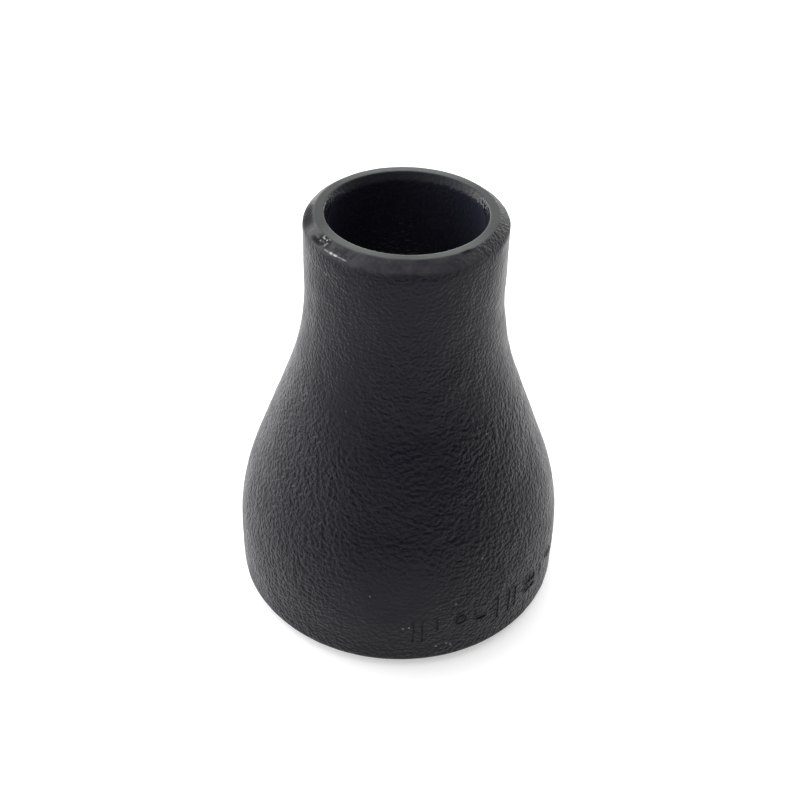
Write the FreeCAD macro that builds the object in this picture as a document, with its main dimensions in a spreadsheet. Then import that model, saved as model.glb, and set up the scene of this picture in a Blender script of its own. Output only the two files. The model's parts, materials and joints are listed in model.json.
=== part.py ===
"""Butt-weld concentric reducer in seamless steel, from 60.3 mm pipe to 33.4 mm pipe.

The fitting is one piece of steel, a length of pipe pressed in a die until one end is the smaller size, and it
is modelled the way it is made. A revolved wall gives the pressed shape. Three grooves give the lathe work: a
weld bevel round each end, and a taper in the small end's bore, where pressing leaves the wall too thick.

Frame: millimetres, +Z along the bore from the large end to the small end, origin at the centre of the large
end's face, on which the fitting stands.
"""
import FreeCAD, Part
import Sketcher
import math
import os

# The driving dimensions. Each one becomes a spreadsheet cell, which the sketches read.
DIMENSIONS = {
    "face_to_face": 76.0,       # between the two end faces
    "large_diameter": 60.3,     # outside, at the large end
    "small_diameter": 33.4,     # outside, at the small end
    "large_wall": 3.91,         # the first pipe's wall, kept by the large end
    "small_wall": 4.15,         # the small end's wall, thickened by the pressing
    "weld_wall": 3.38,          # the small end's wall at its face, after the taper
    "large_straight": 9.3,      # the cylinder at the large end, up to the shoulder
    "small_straight": 11.7,     # the cylinder at the small end, down to the neck
    "shoulder_radius": 48.3,    # the convex curve above the large cylinder, outside
    "neck_radius": 58.7,        # the concave curve below the small cylinder, outside
    "weld_land": 1.6,           # the flat ring left at each face inside the bevel
    "bevel_angle": 37.5,        # from the plane of the face, in degrees
    "taper_angle": 30.0,        # from the bore's axis, in degrees
    "overrun": 1.0,             # how far each cut runs on past the metal
}

# Sketcher's numbers for the points of a line or an arc, for its root point and for its horizontal axis.
START, END, CENTRE = 1, 2, 3
ROOT = (-1, 1)
X_AXIS = -1


def make_sheet(doc):
    """The spreadsheet of driving dimensions, with an alias for each."""
    sheet = doc.addObject("Spreadsheet::Sheet", "Dimensions")
    for row, (name, value) in enumerate(DIMENSIONS.items(), start=1):
        sheet.set(f"A{row}", name)
        sheet.set(f"B{row}", str(value))
        sheet.setAlias(f"B{row}", name)
    doc.recompute()


def value_of(item, expression):
    """What an expression in the spreadsheet's cells comes to."""
    return float(item.evalExpression(expression))


def new_sketch(body, name, height=None):
    """An empty sketch that stands on the body's axis: x is the radius, y the height above the large face.

    With height, an expression, y is measured from that height instead.
    """
    sketch = body.newObject("Sketcher::SketchObject", name)
    planes = body.Origin.OriginFeatures
    sketch.AttachmentSupport = [(next(plane for plane in planes if plane.Role == "XZ_Plane"), "")]
    sketch.MapMode = "FlatFace"
    if height:
        sketch.setExpression("AttachmentOffset.Base.y", height)
    return sketch


def line(sketch, start, end):
    return sketch.addGeometry(Part.LineSegment(FreeCAD.Vector(*start, 0), FreeCAD.Vector(*end, 0)), False)


def arc(sketch, centre, radius, first_angle, last_angle):
    circle = Part.Circle(FreeCAD.Vector(*centre, 0), FreeCAD.Vector(0, 0, 1), radius)
    return sketch.addGeometry(Part.ArcOfCircle(circle, first_angle, last_angle), False)


def constrain(sketch, kind, *targets):
    sketch.addConstraint(Sketcher.Constraint(kind, *targets))


def dimension(sketch, name, expression, kind, *targets):
    """A named dimension that follows an expression in the spreadsheet's cells."""
    index = sketch.addConstraint(Sketcher.Constraint(kind, *targets, value_of(sketch, expression)))
    sketch.renameConstraint(index, name)
    sketch.setExpression(f"Constraints.{name}", expression)


def turned(body, kind, sketch, name):
    """A sketch taken one full turn about the bore's axis: a Revolution adds metal and a Groove cuts it."""
    feature = body.newObject(kind, name)
    feature.Profile = sketch
    feature.ReferenceAxis = (sketch, ["V_Axis"])
    feature.Angle = 360.0
    body.Document.recompute()
    return feature


def flank(sketch, large, small, shoulder_radius, neck_radius):
    """One surface of the pressed wall: large cylinder, shoulder, cone, neck and small cylinder, all tangent.

    The arguments are the surface's own radii. The cone is the line that touches the shoulder's circle on its
    outer side and the neck's circle on its inner side, so its lean is worked out from the two centres.
    """
    shoulder_height = DIMENSIONS["large_straight"]
    neck_height = DIMENSIONS["face_to_face"] - DIMENSIONS["small_straight"]
    shoulder = FreeCAD.Vector(large - shoulder_radius, shoulder_height)
    neck = FreeCAD.Vector(small + neck_radius, neck_height)
    apart = neck - shoulder
    lean = math.atan2(apart.y, apart.x) - math.acos((shoulder_radius + neck_radius) / apart.Length)
    outwards = FreeCAD.Vector(math.cos(lean), math.sin(lean))
    cone_start = shoulder + outwards * shoulder_radius
    cone_end = neck - outwards * neck_radius

    large_line = line(sketch, (large, 0), (large, shoulder_height))
    shoulder_arc = arc(sketch, (shoulder.x, shoulder.y), shoulder_radius, 0, lean)
    cone_line = line(sketch, (cone_start.x, cone_start.y), (cone_end.x, cone_end.y))
    neck_arc = arc(sketch, (neck.x, neck.y), neck_radius, math.pi, math.pi + lean)
    small_line = line(sketch, (small, neck_height), (small, DIMENSIONS["face_to_face"]))

    constrain(sketch, "Tangent", large_line, END, shoulder_arc, START)
    constrain(sketch, "Tangent", shoulder_arc, END, cone_line, START)
    constrain(sketch, "Tangent", cone_line, END, neck_arc, END)
    constrain(sketch, "Tangent", neck_arc, START, small_line, START)
    constrain(sketch, "Vertical", large_line)
    constrain(sketch, "Vertical", small_line)
    return large_line, shoulder_arc, neck_arc, small_line


def pressed_wall(body):
    """The wall as it leaves the die, square-ended, its inside curves struck from the outside's centres."""
    sketch = new_sketch(body, "wall_profile")
    size = DIMENSIONS
    outer_large, outer_small = size["large_diameter"] / 2, size["small_diameter"] / 2
    inner_large, inner_small = outer_large - size["large_wall"], outer_small - size["small_wall"]
    outer = flank(sketch, outer_large, outer_small, size["shoulder_radius"], size["neck_radius"])
    inner = flank(sketch, inner_large, inner_small,
                  size["shoulder_radius"] - size["large_wall"], size["neck_radius"] + size["small_wall"])
    outer_foot, outer_shoulder, outer_neck, outer_top = outer
    inner_foot, inner_shoulder, inner_neck, inner_top = inner
    large_face = line(sketch, (inner_large, 0), (outer_large, 0))
    small_face = line(sketch, (inner_small, size["face_to_face"]), (outer_small, size["face_to_face"]))

    constrain(sketch, "Coincident", large_face, START, inner_foot, START)
    constrain(sketch, "Coincident", large_face, END, outer_foot, START)
    constrain(sketch, "Coincident", small_face, START, inner_top, END)
    constrain(sketch, "Coincident", small_face, END, outer_top, END)
    constrain(sketch, "Coincident", inner_shoulder, CENTRE, outer_shoulder, CENTRE)
    constrain(sketch, "Coincident", inner_neck, CENTRE, outer_neck, CENTRE)
    constrain(sketch, "PointOnObject", large_face, START, X_AXIS)
    constrain(sketch, "PointOnObject", large_face, END, X_AXIS)
    constrain(sketch, "Horizontal", small_face)

    dimension(sketch, "large_radius", "Dimensions.large_diameter / 2", "DistanceX", *ROOT, large_face, END)
    dimension(sketch, "small_radius", "Dimensions.small_diameter / 2", "DistanceX", *ROOT, small_face, END)
    dimension(sketch, "face_to_face", "Dimensions.face_to_face", "DistanceY", *ROOT, small_face, END)
    dimension(sketch, "large_wall", "Dimensions.large_wall", "Distance", large_face)
    dimension(sketch, "small_wall", "Dimensions.small_wall", "Distance", small_face)
    dimension(sketch, "large_straight", "Dimensions.large_straight", "Distance", outer_foot)
    dimension(sketch, "small_straight", "Dimensions.small_straight", "Distance", outer_top)
    dimension(sketch, "shoulder_radius", "Dimensions.shoulder_radius", "Radius", outer_shoulder)
    dimension(sketch, "neck_radius", "Dimensions.neck_radius", "Radius", outer_neck)
    turned(body, "PartDesign::Revolution", sketch, "pressed_wall")


def edge_cut(body, name, height, corner, reach, drop, side, facing):
    """A groove that cuts an end's edge back to a slope.

    Its profile is a triangle on the end face, which is at the given height. From corner, the radius where the
    slope meets the face, it goes along the face by reach and then into the fitting by drop. These four are
    expressions. side is 1 where the cut goes outwards and -1 where it goes inwards, and facing is 1 where the
    face looks down and -1 where it looks up.
    """
    sketch = new_sketch(body, name + "_profile", height)
    start = value_of(sketch, corner)
    far = start + side * value_of(sketch, reach)
    depth = facing * value_of(sketch, drop)
    along = line(sketch, (start, 0), (far, 0))
    into = line(sketch, (far, 0), (far, depth))
    slope = line(sketch, (far, depth), (start, 0))

    constrain(sketch, "Coincident", along, END, into, START)
    constrain(sketch, "Coincident", into, END, slope, START)
    constrain(sketch, "Coincident", slope, END, along, START)
    constrain(sketch, "PointOnObject", along, START, X_AXIS)
    constrain(sketch, "PointOnObject", along, END, X_AXIS)
    constrain(sketch, "Vertical", into)
    dimension(sketch, "corner", corner, "DistanceX", *ROOT, along, START)
    dimension(sketch, "reach", reach, "Distance", along)
    dimension(sketch, "drop", drop, "Distance", into)

    uncut = body.Shape.Volume
    turned(body, "PartDesign::Groove", sketch, name)
    if uncut - body.Shape.Volume < 1.0:
        raise RuntimeError(f"{name} cuts nothing")


def weld_bevel(body, name, height, diameter, wall, facing):
    """The bevel round an end, which leaves the weld land as a flat ring next to the bore."""
    corner = f"{diameter} / 2 - {wall} + Dimensions.weld_land"
    reach = f"{wall} - Dimensions.weld_land + Dimensions.overrun"
    drop = f"({reach}) * tan(Dimensions.bevel_angle * 1 deg)"
    edge_cut(body, name, height, corner, reach, drop, side=1, facing=facing)


def bore_taper(body, name, height, diameter, pressed, machined, facing):
    """The taper in an end's bore, from the pressed wall's thickness to the machined one at the face."""
    corner = f"{diameter} / 2 - {machined}"
    reach = f"{pressed} - {machined} + Dimensions.overrun"
    drop = f"({reach}) / tan(Dimensions.taper_angle * 1 deg)"
    edge_cut(body, name, height, corner, reach, drop, side=-1, facing=facing)


def reducer_body(doc):
    """The whole fitting, the only piece there is."""
    body = doc.addObject("PartDesign::Body", "reducer_body")
    body.Label = "reducer_body"
    pressed_wall(body)
    weld_bevel(body, "large_end_bevel", None, "Dimensions.large_diameter", "Dimensions.large_wall", facing=1)
    small_end = "Dimensions.face_to_face", "Dimensions.small_diameter"
    weld_bevel(body, "small_end_bevel", *small_end, "Dimensions.weld_wall", facing=-1)
    bore_taper(body, "small_end_taper", *small_end, "Dimensions.small_wall", "Dimensions.weld_wall", facing=-1)
    body.Placement = FreeCAD.Placement()
    return body


def check(doc, parts):
    """Stops the build unless every object computed and every part is one valid solid."""
    for item in doc.Objects:
        if "Invalid" in item.State or "Error" in item.State:
            raise RuntimeError(f"{item.Name} failed: {item.State}")
    for part in parts:
        shape = part.Shape
        if shape.isNull() or not shape.isValid() or len(shape.Solids) != 1:
            raise RuntimeError(f"{part.Label} isn't one valid solid")


def export(parts):
    os.makedirs("parts", exist_ok=True)
    for part in parts:
        part.Shape.exportStep(os.path.join("parts", part.Label + ".step"))
        box = part.Shape.optimalBoundingBox(False)
        print(f"{part.Label}: {box.XLength:.2f} x {box.YLength:.2f} x {box.ZLength:.2f} mm, "
              f"{part.Shape.Volume:.0f} cubic mm, {len(part.Shape.Faces)} faces")


def main():
    doc = FreeCAD.newDocument("concentric_reducer")
    make_sheet(doc)
    parts = [reducer_body(doc)]
    doc.recompute()
    check(doc, parts)
    export(parts)


main()
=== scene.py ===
"""The looks of a butt-weld concentric reducer: a black-painted, shot-blasted shell with machined ends.

Metres, +Z up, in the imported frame: the large end's face lies on the floor at z = 0. Angles round the
fitting are measured from the front, -Y, towards +X.
"""
import json
import math

import bpy
import numpy as np
from mathutils import Matrix, Vector


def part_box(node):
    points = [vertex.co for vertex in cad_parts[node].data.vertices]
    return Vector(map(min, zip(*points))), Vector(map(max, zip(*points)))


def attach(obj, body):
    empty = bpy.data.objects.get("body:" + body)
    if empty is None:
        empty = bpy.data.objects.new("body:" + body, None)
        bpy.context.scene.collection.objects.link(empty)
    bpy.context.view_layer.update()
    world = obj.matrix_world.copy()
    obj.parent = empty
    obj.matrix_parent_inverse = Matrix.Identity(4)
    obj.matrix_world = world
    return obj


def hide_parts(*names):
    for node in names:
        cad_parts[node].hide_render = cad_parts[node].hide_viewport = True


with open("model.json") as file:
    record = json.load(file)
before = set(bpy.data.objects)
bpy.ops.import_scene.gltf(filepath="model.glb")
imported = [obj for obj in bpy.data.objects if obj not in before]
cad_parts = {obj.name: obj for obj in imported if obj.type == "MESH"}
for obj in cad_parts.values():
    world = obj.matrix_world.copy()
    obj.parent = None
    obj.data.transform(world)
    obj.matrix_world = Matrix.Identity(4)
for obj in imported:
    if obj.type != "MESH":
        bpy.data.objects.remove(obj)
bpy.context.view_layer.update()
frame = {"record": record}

MM = 0.001

# ---- The frame's dimensions, in metres ----
MOUNTS = {mount["name"]: mount for mount in frame["record"]["mounts"]}


def radius_of(mount):
    return MOUNTS[mount]["dims"]["r_mm"] * MM


LOW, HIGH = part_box("reducer_body")
HEIGHT = HIGH.z
LARGE_OUT, SMALL_OUT = radius_of("large_end_outside"), radius_of("small_end_outside")
LARGE_BORE, SMALL_BORE = radius_of("large_end_bore"), radius_of("small_end_bore")
LARGE_LAND_MID = MOUNTS["large_end_face"]["pos_m"][0]
SMALL_LAND_MID = MOUNTS["small_end_face"]["pos_m"][0]
HALF_LAND = LARGE_LAND_MID - LARGE_BORE             # the weld lands are the same width at both ends
LARGE_STRAIGHT = MOUNTS["large_end_bore"]["dims"]["length_mm"] * MM
SMALL_STRAIGHT = 11.7 * MM                          # as drawn, on the outside
SHOULDER_RADIUS, NECK_RADIUS = 48.3 * MM, 58.7 * MM  # as drawn, on the outside
BEVEL_SLOPE = math.tan(math.radians(37.5))          # height over radius
TAPER_SLOPE = 1 / math.tan(math.radians(30.0))


def pressed_radius(z, large, small, shoulder_radius, neck_radius):
    """A pressed surface's radius at each height z: cylinder, shoulder arc, cone, neck arc, cylinder."""
    neck_start = HEIGHT - SMALL_STRAIGHT
    shoulder = np.array([large - shoulder_radius, LARGE_STRAIGHT])
    neck = np.array([small + neck_radius, neck_start])
    apart = neck - shoulder
    lean = math.atan2(apart[1], apart[0]) - math.acos((shoulder_radius + neck_radius) / np.hypot(*apart))
    outwards = np.array([math.cos(lean), math.sin(lean)])
    cone_start, cone_end = shoulder + outwards * shoulder_radius, neck - outwards * neck_radius
    on_shoulder = shoulder[0] + np.sqrt(np.maximum(shoulder_radius**2 - (z - shoulder[1]) ** 2, 0))
    on_cone = cone_start[0] - (z - cone_start[1]) * math.tan(lean)
    on_neck = neck[0] - np.sqrt(np.maximum(neck_radius**2 - (z - neck[1]) ** 2, 0))
    heights = [z < LARGE_STRAIGHT, z < cone_start[1], z < cone_end[1], z < neck_start]
    return np.select(heights, [large, on_shoulder, on_cone, on_neck], small)


def drawn_outside(z):
    return pressed_radius(z, LARGE_OUT, SMALL_OUT, SHOULDER_RADIUS, NECK_RADIUS)


def drawn_inside(z):
    large_wall, small_wall = LARGE_OUT - LARGE_BORE, SMALL_OUT - SMALL_BORE
    return pressed_radius(z, LARGE_BORE, SMALL_BORE, SHOULDER_RADIUS - large_wall, NECK_RADIUS + small_wall)


# ---- Relief ----
def lattice(ix, iy, iz, seed):
    """A repeatable number from -1 to 1 for each whole-number point."""
    n = (ix * 374761393 + iy * 668265263 + iz * 1440670441 + seed * 1274126177) & 0xFFFFFFFF
    n = ((n ^ (n >> 13)) * 1274126177) & 0xFFFFFFFF
    return ((n ^ (n >> 16)) & 0xFFFF) / 32767.5 - 1


def noise(points, wavelength, seed):
    """Smooth noise from about -1 to 1 at each of the points, an array of rows x, y, z."""
    scaled = points / wavelength
    whole = np.floor(scaled).astype(np.int64)
    part = scaled - whole
    ease = part * part * part * (part * (part * 6 - 15) + 10)
    total = np.zeros(len(points))
    for corner in np.ndindex(2, 2, 2):
        share = np.prod(np.where(corner, ease, 1 - ease), axis=1)
        total += share * lattice(*(whole + corner).T, seed)
    return total


def round_the_axis(angle, radius, z):
    """Points at these angles from the front, in radians, these radii and these heights."""
    return np.stack([radius * np.sin(angle), -radius * np.cos(angle), z], axis=1)


def smooth_step(low, high, value):
    t = np.clip((value - low) / (high - low), 0, 1)
    return t * t * (3 - 2 * t)


def soft_least(first, second, blend):
    """The lesser of two arrays, with the corner where they cross rounded over about blend."""
    return 0.5 * (first + second - np.sqrt((first - second) ** 2 + blend**2))


def blasted_relief(angle, z):
    """How far the shot-blasted outside stands proud of the drawing. It is smoother in front and behind."""
    points = round_the_axis(angle, drawn_outside(z), z)
    out_of_round = 0.05 * MM * noise(points, 24 * MM, 1)
    lumps = 0.05 * MM * noise(points, 5 * MM, 2)
    pebbles = 0.045 * MM * noise(points, 1.9 * MM, 3)
    return out_of_round + lumps + pebbles * (0.7 + 0.3 * smooth_step(0.05, 0.5, np.abs(np.sin(angle))))


def bore_relief(angle, z):
    """How far the scaled inside stands proud of the drawing, towards the axis."""
    points = round_the_axis(angle, drawn_inside(z), z)
    return 0.07 * MM * noise(points, 8 * MM, 11) + 0.04 * MM * noise(points, 2.5 * MM, 12)


# ---- Punched marks: plain bars, dashes and a ring, in a row near the large end ----
BAR, SHORT_BAR = ((0, -2.5), (0, 2.5)), ((0, -1.2), (0, 1.2))  # each stroke's ends, in mm
DASH, SHORT_DASH = ((-1.2, 0), (1.2, 0)), ((-0.75, 0), (0.75, 0))
THIN, BOLD, HEAVY = 0.13, 0.22, 0.27                # half widths of the strokes, in mm
MARKS = (                                           # degrees round, mm up from the row, stroke, half width
    (6.2, 0.1, BAR, THIN), (9.2, -0.1, BAR, THIN), (14.2, 1.3, SHORT_BAR, THIN),
    (30.6, 0, SHORT_DASH, BOLD), (37.4, 0.3, BAR, THIN), (42.5, 0.4, BAR, THIN), (45.5, 0.2, BAR, THIN),
    (54.0, 1.2, DASH, HEAVY), (54.0, -0.8, DASH, HEAVY), (61.5, 0.3, SHORT_BAR, THIN),
    (69.0, 1.4, SHORT_DASH, HEAVY))
RING_DEGREES, RING_UP, RING_RADIUS = 22.7, 1.2, 0.85  # degrees round, mm up from the row, and mm
MARK_ROW = 9.3                                      # the row's height, in mm
DEPTH_FOR_WIDTH = 1.3                               # a stroke's depth over its half width
LIP = 0.45                                          # its lips' height over its depth
# Painted glints: small bright spots near the marks, at these places.
GLINT_SPOTS = ((2.8, 10.2), (4.8, 10.4), (14.3, 4.8), (19.4, 4.5), (17.9, 5.1))  # degrees round, mm up
GLINT_SPOT_RADIUS = 0.12 * MM
MARKS_FROM, MARKS_TO = 1.5, 73.0                    # degrees
MARKS_LOW, MARKS_HIGH = 4.0 * MM, 13.0 * MM


def from_stroke(across, up, stroke):
    """Each place's distance from a straight stroke, in mm."""
    start, end = (np.array(point, dtype=float) for point in stroke)
    run = end - start
    share = ((across - start[0]) * run[0] + (up - start[1]) * run[1]) / (run @ run)
    share = np.clip(share, 0, 1)
    return np.hypot(across - start[0] - share * run[0], up - start[1] - share * run[1])


def from_marks(angle, z):
    """Each place's distance from the nearest stroke, in the stroke's half widths, and that half width."""
    millimetres_round = math.radians(1) * LARGE_OUT / MM
    wobble = 0.12 * noise(round_the_axis(angle, LARGE_OUT, z), 1.6 * MM, 31)  # in mm
    degrees = np.degrees(angle) + wobble / millimetres_round
    up = z / MM - MARK_ROW + wobble
    from_centre = np.hypot((degrees - RING_DEGREES) * millimetres_round, up - RING_UP)
    nearest, width = np.abs(from_centre - RING_RADIUS) / THIN, np.full_like(up, THIN)
    for around, above, stroke, half_width in MARKS:
        distance = from_stroke((degrees - around) * millimetres_round, up - above, stroke) / half_width
        width = np.where(distance < nearest, half_width, width)
        nearest = np.minimum(nearest, distance)
    return nearest, width * MM


def punched(angle, z):
    """How deep the marks go below the skin: a rounded groove with a lip thrown up along each side."""
    nearest, width = from_marks(angle, z)
    return DEPTH_FOR_WIDTH * width * (np.exp(-(nearest**2)) - LIP * np.exp(-((nearest - 2) ** 2)))


def groove_shade(angle, z):
    """From 0 to 1, painted shade in the marks' grooves, which is fainter in the thin strokes."""
    nearest, width = from_marks(angle, z)
    return np.exp(-(nearest**2)) * np.minimum(width / (BOLD * MM), 1)


def glint_spots(angle, z):
    """From 0 to 1, painted glints: small bright spots near the marks."""
    total = np.zeros_like(z)
    for degrees, up in GLINT_SPOTS:
        from_glint_spot = np.hypot((angle - math.radians(degrees)) * LARGE_OUT, z - up * MM)
        total += 0.8 * np.exp(-((from_glint_spot / GLINT_SPOT_RADIUS) ** 2))
    return total


# ---- Wear and painted glints on the small end's bevel ----
def spot(angle, z, degrees, height, wide, tall):
    """1 about a place on the bevel, falling to 0 beyond wide degrees and tall millimetres from it."""
    turn = (np.degrees(angle) - degrees + 180) % 360 - 180
    return np.exp(-((turn / wide) ** 4) - ((z / MM - height) / tall) ** 4)


def specks(angle, z, size, seed, share):
    """1 on scattered specks of about this size, covering more of the bevel as share goes from -1 to 1."""
    points = round_the_axis(angle, SMALL_OUT, z * math.hypot(1, BEVEL_SLOPE) / BEVEL_SLOPE)
    return smooth_step(-share, 0.35 - share, noise(points, size, seed))


def burr(angle, z):
    """From 0 to 1, the bits of metal knocked up in a line along the bevel's foot, on its left front."""
    return (0.35 * spot(angle, z, -48.0, 74.78, 2.0, 0.09) + 0.9 * spot(angle, z, -44.3, 74.79, 1.1, 0.12)
            + 0.9 * spot(angle, z, -41.2, 74.78, 1.4, 0.11) + 0.35 * spot(angle, z, -38.2, 74.76, 1.3, 0.07)
            + 0.4 * spot(angle, z, -35.0, 74.73, 1.6, 0.09))


def pits(angle, z):
    """From 0 to 1, the pits: behind the burr, beside it, on the bevel's left, and at its foot in front."""
    patch = spot(angle, z, -86, 75.2, 13, 0.75) * specks(angle, z, 0.55 * MM, 25, 0.75)
    behind = 0.5 * spot(angle, z, -38, 75.3, 9, 0.45) + spot(angle, z, -54, 75.45, 5.5, 0.5)
    behind *= specks(angle, z, 0.45 * MM, 22, 0.2)
    hollow = spot(angle, z, -59, 74.95, 5, 0.3)
    foot = 0.4 * spot(angle, z, 4.5, 74.3, 13.5, 0.16) * specks(angle, z, 0.4 * MM, 26, 0.2)
    step = spot(angle, z, 38, 75.9, 4, 0.15)
    return np.minimum(patch + behind + hollow + foot + step, 1)


def bare_metal_and_glints(angle, z):
    """From 0 to 1, exposed steel along the burr, and painted glints by it and near the marks."""
    # Painted glints beside the burr.
    glints = 0.5 * spot(angle, z, -54, 75.5, 3.5, 0.45) * specks(angle, z, 0.35 * MM, 24, -0.35)
    return np.maximum(np.maximum(burr(angle, z), glints), glint_spots(angle, z))


def rust(angle, z):
    """From 0 to 1, one small brown speck at the bevel's foot in front."""
    return spot(angle, z, 11.4, 74.4, 1.4, 0.12)


# ---- The shell ----
BURR_HEIGHT, PIT_DEPTH = 0.13 * MM, 0.12 * MM
BEVEL_SHARE = 0.4                                   # of the blasted relief that the harder bevels show


def outside(angle, z):
    """The outside's radius, and how much of it there is the lathe's: 0 on the skin and 1 on a bevel."""
    relief = blasted_relief(angle, z)
    skin = drawn_outside(z) + relief - punched(angle, z)
    small_bevel = SMALL_LAND_MID + HALF_LAND + (HEIGHT - z) / BEVEL_SLOPE
    large_bevel = LARGE_LAND_MID + HALF_LAND + z / BEVEL_SLOPE
    bevel = np.minimum(small_bevel, large_bevel) + BEVEL_SHARE * relief
    towards_front = np.cos(angle)
    worn_corner = 0.45 + 0.2 * towards_front + 0.35 * np.maximum(towards_front, 0) ** 2  # in mm
    worn_corner += 0.3 * noise(round_the_axis(angle, SMALL_OUT, z), 3 * MM, 23)
    worn_corner = np.where(z > HEIGHT / 2, worn_corner, 0.2) * MM
    wear = BURR_HEIGHT * burr(angle, z) - PIT_DEPTH * pits(angle, z)
    return soft_least(skin, bevel, worn_corner) + wear, smooth_step(-1.1 * MM, 0.05 * MM, skin - bevel)


def inside(angle, z):
    """The bore's radius, and how much of it there is the lathe's."""
    skin = drawn_inside(z) - bore_relief(angle, z)
    taper = SMALL_LAND_MID - HALF_LAND - (HEIGHT - z) / TAPER_SLOPE
    return -soft_least(-skin, -taper, 0.12 * MM), smooth_step(-0.08 * MM, 0.08 * MM, taper - skin)


def spaced(stops, steps):
    """Places through the stops, with each stretch divided into about its own step."""
    pieces = []
    for low, high, step in zip(stops[:-1], stops[1:], steps):
        pieces.append(np.linspace(low, high, max(1, round(abs(high - low) / step)), endpoint=False))
    return np.append(np.concatenate(pieces), stops[-1])


EDGE = 0.06 * MM                                    # the corners of the end faces are broken by this much
AROUND = 300                                        # columns of faces round the fitting
FINE = 4                                            # by the marks and the scar, cuts along a face's side
SCAR_FROM, SCAR_TO = -102, 20                       # degrees
SCAR_LOW = 74.1 * MM


def shell_rows():
    """The mesh's rings, once round the wall's section: outside, small face, bore and large face.

    Each ring is a surface name and a place on it: a height, or on a face a share of the way across.
    """
    bevel_foot = (LARGE_OUT - LARGE_LAND_MID - HALF_LAND) * BEVEL_SLOPE
    outer = spaced([EDGE, bevel_foot + 0.5 * MM, MARKS_LOW, MARKS_HIGH, SCAR_LOW, HEIGHT - EDGE],
                   [0.2 * MM, 0.5 * MM, 0.5 * MM, 0.55 * MM, 0.16 * MM])
    taper_foot = HEIGHT - (SMALL_LAND_MID - HALF_LAND - SMALL_BORE) * TAPER_SLOPE
    inner = spaced([HEIGHT - EDGE, taper_foot - 0.6 * MM, taper_foot - 6 * MM, EDGE],
                   [0.15 * MM, 0.6 * MM, 2.5 * MM])
    across = np.linspace(0, 1, 6)
    return ([("outside", z) for z in outer] + [("small_face", share) for share in across]
            + [("inside", z) for z in inner] + [("large_face", share) for share in across])


def ring(surface, place, angle):
    """A ring's radii, heights and lathe-cut share."""
    if surface == "outside":
        z = np.full_like(angle, place)
        radius, cut = outside(angle, z)
    elif surface == "inside":
        z = np.full_like(angle, place)
        radius, cut = inside(angle, z)
    else:
        level = HEIGHT if surface == "small_face" else 0.0
        z = np.full_like(angle, level)
        outer, inner = outside(angle, z)[0] - EDGE, inside(angle, z)[0] + EDGE
        share = place if surface == "small_face" else 1 - place
        radius = outer * (1 - share) + inner * share
        cut = np.ones_like(angle)
    return radius, z, cut


def cut_finer(rows):
    """Which of the mesh's faces, by row and column, are cut finer: those about the marks and the scar."""
    heights = np.array([place if surface == "outside" else -1.0 for surface, place in rows])
    degrees = np.arange(AROUND) * 360 / AROUND
    by_marks = (heights > MARKS_LOW) & (heights < MARKS_HIGH)
    by_scar = (heights > SCAR_LOW) & (heights < HEIGHT - 1.5 * EDGE)
    turned = (degrees - SCAR_FROM) % 360
    return (np.outer(by_marks, (degrees > MARKS_FROM) & (degrees < MARKS_TO))
            | np.outer(by_scar, turned < SCAR_TO - SCAR_FROM))


def shell_faces(finer):
    """The mesh's faces, and its points' places in a grid with FINE steps to each row and column.

    A coarse face takes in the points of a finer neighbour that lie along its sides, so the mesh is closed.
    """
    down, around = finer.shape[0] * FINE, finer.shape[1] * FINE
    row, column = np.nonzero(np.kron(finer, np.ones((FINE, FINE), dtype=bool)))
    used = np.zeros((down, around), dtype=bool)
    used[::FINE, ::FINE] = True
    for a, b in ((0, 0), (0, 1), (1, 0), (1, 1)):
        used[row + a, (column + b) % around] = True
    number = np.full((down, around), -1)
    number[used] = np.arange(used.sum())
    fine = [number[row + a, (column + b) % around] for a, b in ((0, 0), (0, 1), (1, 1), (1, 0))]
    faces = np.stack(fine, axis=1).tolist()
    row, column = (place * FINE for place in np.nonzero(~finer))
    steps = range(FINE)
    walk = ([(0, k) for k in steps] + [(k, FINE) for k in steps]
            + [(FINE, FINE - k) for k in steps] + [(FINE - k, 0) for k in steps])
    sides = np.stack([number[(row + a) % down, (column + b) % around] for a, b in walk], axis=1)
    faces += [[point for point in side if point >= 0] for side in sides.tolist()]
    return faces, used


def shell():
    """The whole fitting as one closed mesh, with what its finish needs to know at each point."""
    rows = shell_rows()
    faces, used = shell_faces(cut_finer(rows))
    points, marks = [], {"cut": [], "land": [], "bore": [], "bare_and_glints": [], "pits_and_groove_shade": [], "rust": []}
    for level, columns in enumerate(used):
        if not columns.any():
            continue
        (surface, place), part = rows[level // FINE], level % FINE / FINE
        if part:
            place += (rows[level // FINE + 1][1] - place) * part
        angle = np.nonzero(columns)[0] * math.tau / len(columns)
        radius, z, cut = ring(surface, place, angle)
        points.append(round_the_axis(angle, radius, z))
        outer = surface == "outside"
        marks["cut"].append(cut)
        marks["land"].append(np.full_like(angle, surface.endswith("face")))
        marks["bore"].append(np.full_like(angle, surface == "inside"))
        # Exposed steel along the burr, and painted glints.
        marks["bare_and_glints"].append(bare_metal_and_glints(angle, z) * outer)
        # Pits, and painted shade in the marks' grooves.
        marks["pits_and_groove_shade"].append(np.maximum(pits(angle, z), groove_shade(angle, z)) * outer)
        marks["rust"].append(rust(angle, z) * outer)
    mesh = bpy.data.meshes.new("reducer_shell")
    mesh.from_pydata(np.concatenate(points).tolist(), [], faces)
    mesh.shade_smooth()
    for name, values in marks.items():
        layer = mesh.attributes.new(name, "FLOAT", "POINT")
        layer.data.foreach_set("value", np.concatenate(values).astype(np.float32))
    piece = bpy.data.objects.new("reducer_shell", mesh)
    bpy.context.scene.collection.objects.link(piece)
    return piece


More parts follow.
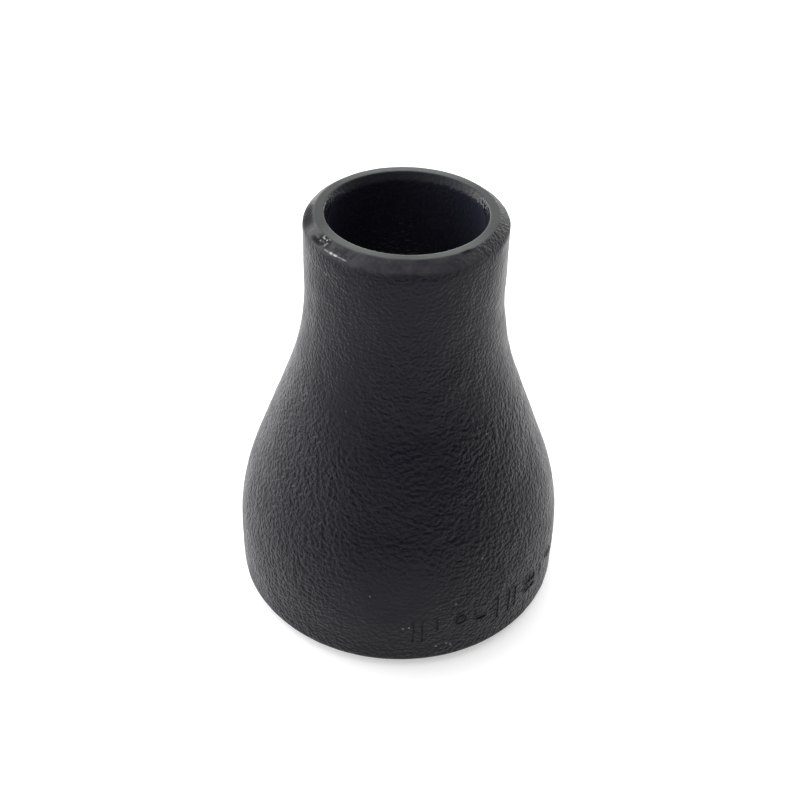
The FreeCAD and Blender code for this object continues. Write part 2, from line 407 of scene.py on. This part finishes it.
# ---- Materials ----
class Nodes:
    """The nodes of a material or a world, with short calls to make and join them."""

    def __init__(self, owner):
        owner.use_nodes = True
        self.owner = owner
        self.tree = owner.node_tree
        self.shader = self.tree.nodes.get("Principled BSDF")

    def add(self, kind, inputs=None, **settings):
        node = self.tree.nodes.new("ShaderNode" + kind)
        for key, value in settings.items():
            setattr(node, key, value)
        for key, value in (inputs or {}).items():
            self.put(node.inputs[key], value)
        return node

    def put(self, socket, value):
        """Joins a socket to another node's output, or sets it to a number or colour."""
        if isinstance(value, bpy.types.NodeSocket):
            self.tree.links.new(value, socket)
        else:
            socket.default_value = value

    def math(self, operation, *values):
        node = self.add("Math", operation=operation)
        for socket, value in zip(node.inputs, values):
            self.put(socket, value)
        return node.outputs[0]

    def noise(self, place, scale, detail=2.0, roughness=0.5):
        node = self.add("TexNoise", {"Vector": place, "Scale": scale, "Detail": detail,
                                     "Roughness": roughness})
        return node.outputs["Fac"]

    def ramp(self, value, low, high, to_low=0.0, to_high=1.0):
        node = self.add("MapRange", {"Value": value, "From Min": low, "From Max": high,
                                     "To Min": to_low, "To Max": to_high})
        return node.outputs["Result"]

    def mix(self, share, first, second):
        """Two colours mixed by a share."""
        node = self.add("Mix", data_type="RGBA")
        sockets = [s for s in node.inputs if s.enabled]
        for socket, value in zip(sockets, (share, first, second)):
            self.put(socket, value)
        return next(s for s in node.outputs if s.enabled)

    def blend(self, share, first, second):
        """Two numbers mixed by a share."""
        node = self.add("Mix", data_type="FLOAT")
        sockets = [s for s in node.inputs if s.enabled]
        for socket, value in zip(sockets, (share, first, second)):
            self.put(socket, value)
        return next(s for s in node.outputs if s.enabled)

    def attribute(self, name):
        return self.add("Attribute", attribute_name=name).outputs["Fac"]


PAINT = (0.0052, 0.0047, 0.0088, 1)
PAINT_THIN = (0.0078, 0.0071, 0.0115, 1)
# Painted light: the bevel's second, lighter colour is mixed in towards its front.
BEVEL_PAINT, BEVEL_FRONT_LIT = (0.006, 0.0057, 0.0065, 1), (0.046, 0.045, 0.051, 1)
# Painted light: the taper's second, lighter colour is mixed in towards its back.
TAPER_PAINT, TAPER_BACK_LIT = (0.0025, 0.0025, 0.0035, 1), (0.027, 0.0265, 0.031, 1)
# Painted light on the land: its second colour lightens its right side, and the colour on the next line is a
# painted highlight.
LAND_PAINT, LAND_RIGHT_LIT = (0.0055, 0.0078, 0.0072, 1), (0.0125, 0.015, 0.014, 1)
LAND_HIGHLIGHT = (0.038, 0.043, 0.0405, 1)
BORE_PAINT = (0.017, 0.017, 0.027, 1)
# The pits' darker colour and its share, also used to paint shade into the marks' grooves.
PIT_AND_GROOVE_SHADE_PAINT, PIT_AND_GROOVE_SHADE_SHARE = (0.0025, 0.0025, 0.0035, 1), 0.8
# A light steel grey: exposed steel along the burr, and the colour of the painted glints.
BARE_STEEL_AND_GLINTS = (0.45, 0.45, 0.44, 1)
RUST = (0.045, 0.026, 0.013, 1)
SPECULAR = 0.12
SKIN_ROUGH = (0.28, 0.4)                            # from the glossiest patches to the dullest
BEVEL_ROUGH, TAPER_ROUGH, LAND_ROUGH, PIT_ROUGH = 0.5, 0.2, 0.6, 0.95
# Painted glints: sparse small bright flecks over the outside.
FLECK_CELLS = 260.0                                 # per metre; a cell may hold one fleck
FLECK_ODDS = 0.35                                   # how many of the cells do
FLECK_RADIUS, FLECK_CORE = 0.07, 0.03               # in cells
FLECK_SHARE = 0.25                                  # of the light steel grey in a painted glint's colour
GRAIN_HEIGHT = 0.6 * MM
BORE_GRAIN, LAND_GRAIN = 0.2, 0.04                  # the grain's strength where the lathe has cut


def paint_colour(n, place, cut, land, bore):
    """The paint, with painted light: lighter on the bevel's front, the taper's back and the land's right,
    and painted highlights on the land's front and back.
    """
    at = n.add("SeparateXYZ", {0: place}).outputs
    patches = n.ramp(n.noise(place, 90.0, 3.0), 0.35, 0.7)
    skin = n.mix(bore, n.mix(patches, PAINT, PAINT_THIN), BORE_PAINT)
    # Painted light: the bevel is lighter towards its front, and a little less so on its right.
    towards_front = n.ramp(at["Y"], -2 * MM, -13 * MM)
    towards_left = n.ramp(at["X"], -4 * MM, -10 * MM, 0.92, 1.0)
    bevel = n.mix(n.math("MULTIPLY", towards_front, towards_left), BEVEL_PAINT, BEVEL_FRONT_LIT)
    # Painted light: the taper is lighter towards its back.
    taper = n.mix(n.ramp(at["Y"], 3 * MM, 11 * MM), TAPER_PAINT, TAPER_BACK_LIT)
    mottle = n.ramp(n.noise(place, 500.0, 3.0, 0.6), 0.35, 0.65, 0.5, 1.0)
    colour = n.mix(n.math("MULTIPLY", cut, mottle), skin, n.mix(bore, bevel, taper))
    # Painted highlights on the land's front, weaker in the middle, and on its back; painted light on its
    # right side.
    off_centre = n.ramp(n.math("ABSOLUTE", at["X"]), 0.0, 6 * MM, 0.45, 1.0)
    front = n.math("MULTIPLY", off_centre, n.ramp(at["Y"], -5 * MM, -10 * MM))
    land_highlight = n.math("MAXIMUM", front, n.ramp(at["Y"], 8 * MM, 13 * MM))
    land_paint_and_side_light = n.mix(n.ramp(at["X"], 5 * MM, 14 * MM), LAND_PAINT, LAND_RIGHT_LIT)
    return n.mix(land, colour, n.mix(land_highlight, land_paint_and_side_light, LAND_HIGHLIGHT))


def glint_flecks(n, place, bore):
    """Painted glints: small bright flecks scattered over the outside, as a share of the light steel grey.
    """
    cells = n.add("TexVoronoi", {"Vector": place, "Scale": FLECK_CELLS})
    luck = n.add("SeparateColor", {0: cells.outputs["Color"]}).outputs["Red"]
    chosen = n.math("GREATER_THAN", n.math("SUBTRACT", luck, bore), 1 - FLECK_ODDS)
    spots = n.ramp(cells.outputs["Distance"], FLECK_RADIUS, FLECK_CORE, 0.0, FLECK_SHARE)
    return n.math("MULTIPLY", spots, chosen)


def grain(n, place, cut, land, bore):
    """The finest of the blasting, as a bump. It is finer high up, and faint low down in the middle."""
    at = n.add("SeparateXYZ", {0: place}).outputs
    high_up = n.ramp(at["Z"], 40 * MM, 60 * MM)
    peel = n.blend(high_up, n.noise(place, 1400.0, 1.2, 0.5), n.noise(place, 1800.0, 1.2, 0.5))
    fine = n.noise(place, 4200.0, 1.0, 0.5)
    height = n.math("ADD", peel, n.math("MULTIPLY", fine, 0.1))
    foot = n.ramp(at["Z"], 3 * MM, 14 * MM, 1.25, 1.0)
    uneven = n.ramp(n.noise(place, 60.0, 1.0), 0.3, 0.7, 0.6, 1.3)
    blasted = n.math("MULTIPLY", n.math("MULTIPLY", foot, uneven), n.ramp(high_up, 0, 1, 1.0, 0.38))
    to_the_side = n.ramp(n.math("ABSOLUTE", at["X"]), 4 * MM, 15 * MM)
    across = n.blend(to_the_side, n.ramp(high_up, 0, 1, 0.34, 1.45), 1.05)
    on_bevel = n.blend(bore, n.ramp(at["X"], 4 * MM, 12 * MM, 0.16, 0.5), BORE_GRAIN)
    strength = n.blend(land, n.blend(cut, n.math("MULTIPLY", blasted, across), on_bevel), LAND_GRAIN)
    bump = n.add("Bump", {"Height": height, "Strength": strength, "Distance": GRAIN_HEIGHT})
    return bump.outputs["Normal"]


def black_paint():
    """Thin semi-gloss black paint over blasted steel, with the wear, painted shade and painted glints that
    the mesh's attributes place, and painted light and highlights on the cut ends.
    """
    n = Nodes(bpy.data.materials.new("black_paint"))
    place = n.add("TexCoord").outputs["Object"]
    cut, land, bore = n.attribute("cut"), n.attribute("land"), n.attribute("bore")
    pits_and_groove_shade = n.attribute("pits_and_groove_shade")
    colour = paint_colour(n, place, cut, land, bore)
    # Darker colour in the pits, and painted shade in the marks' grooves.
    colour = n.mix(n.math("MULTIPLY", pits_and_groove_shade, PIT_AND_GROOVE_SHADE_SHARE), colour, PIT_AND_GROOVE_SHADE_PAINT)
    colour = n.mix(n.attribute("rust"), colour, RUST)
    # Exposed steel along the burr, and painted glints: by the burr, near the marks and in the flecks.
    bare_and_glints = n.math("MAXIMUM", n.attribute("bare_and_glints"), glint_flecks(n, place, bore))
    n.put(n.shader.inputs["Base Color"], n.mix(bare_and_glints, colour, BARE_STEEL_AND_GLINTS))
    n.put(n.shader.inputs["Specular IOR Level"], SPECULAR)
    rough = n.ramp(n.noise(place, 260.0, 2.0), 0.3, 0.7, *SKIN_ROUGH)
    rough = n.blend(land, n.blend(cut, rough, n.blend(bore, BEVEL_ROUGH, TAPER_ROUGH)), LAND_ROUGH)
    n.put(n.shader.inputs["Roughness"], n.blend(pits_and_groove_shade, rough, PIT_ROUGH))
    n.put(n.shader.inputs["Normal"], grain(n, place, cut, land, bore))
    return n.owner


# ---- The studio ----
def camera():
    """Stands in front and above, looking down at the fitting, and leans a little to one side."""
    data = bpy.data.cameras.new("camera")
    data.sensor_width = 36.0
    data.lens = 51.93
    item = bpy.data.objects.new("camera", data)
    bpy.context.scene.collection.objects.link(item)
    place = Vector((0, -162.09, 167.67)) * MM
    down, aside, roll = math.radians(38.818), math.radians(-0.090), math.radians(1.658)
    ahead = Vector((math.sin(aside) * math.cos(down), math.cos(aside) * math.cos(down), -math.sin(down)))
    right = ahead.cross(Vector((0, 0, 1))).normalized()
    up = right.cross(ahead)
    level = Matrix((right, up, -ahead)).transposed()
    item.matrix_world = Matrix.Translation(place) @ (level @ Matrix.Rotation(roll, 3, "Z")).to_4x4()
    bpy.context.scene.camera = item


def floor():
    mesh = bpy.data.meshes.new("floor")
    reach = 4.0
    mesh.from_pydata([(-reach, -reach, 0), (reach, -reach, 0), (reach, reach, 0), (-reach, reach, 0)], [],
                     [(0, 1, 2, 3)])
    item = bpy.data.objects.new("floor", mesh)
    bpy.context.scene.collection.objects.link(item)
    n = Nodes(bpy.data.materials.new("floor"))
    n.put(n.shader.inputs["Base Color"], (0.7, 0.7, 0.7, 1))
    n.put(n.shader.inputs["Emission Color"], (1, 1, 1, 1))
    n.put(n.shader.inputs["Emission Strength"], 0.45)
    n.put(n.shader.inputs["Roughness"], 0.8)
    n.put(n.shader.inputs["Specular IOR Level"], 0.1)
    mesh.materials.append(n.owner)


WINDOW_SIDE = math.radians(209)                     # the big soft source stands behind and to the left
WINDOW_STRENGTH, WINDOW_FALL_OFF = 9.8, 2.1
WINDOW_TOP_SHARE = 0.25                             # how much of its strength is left overhead
OVERHEAD, OVERHEAD_FALL_OFF = 1.8, 8


def studio():
    """A broad soft source that fades out round the room, with a little more light from overhead."""
    world = bpy.data.worlds.new("studio")
    bpy.context.scene.world = world
    n = Nodes(world)
    away = n.add("TexCoord").outputs["Generated"]
    window = (math.sin(WINDOW_SIDE), -math.cos(WINDOW_SIDE), 0)
    facing = n.add("VectorMath", {0: away, 1: window}, operation="DOT_PRODUCT").outputs["Value"]
    spread = n.math("POWER", n.ramp(facing, -1, 1), WINDOW_FALL_OFF)
    height = n.math("MAXIMUM", n.add("SeparateXYZ", {0: away}).outputs["Z"], 0)
    fade = n.ramp(height, 0, 1, WINDOW_STRENGTH, WINDOW_STRENGTH * WINDOW_TOP_SHARE)
    overhead = n.math("MULTIPLY", n.math("POWER", height, OVERHEAD_FALL_OFF), OVERHEAD)
    light = n.math("ADD", n.math("MULTIPLY", spread, fade), overhead)
    seen = n.add("LightPath").outputs["Is Camera Ray"]
    n.put(n.tree.nodes["Background"].inputs["Color"], (1, 1, 1, 1))
    n.put(n.tree.nodes["Background"].inputs["Strength"], n.blend(seen, light, 1.0))
    bpy.context.scene.view_settings.view_transform = "Standard"


camera()
body = shell()
body.data.materials.append(black_paint())
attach(body, "root")
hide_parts("reducer_body")
floor()
studio()
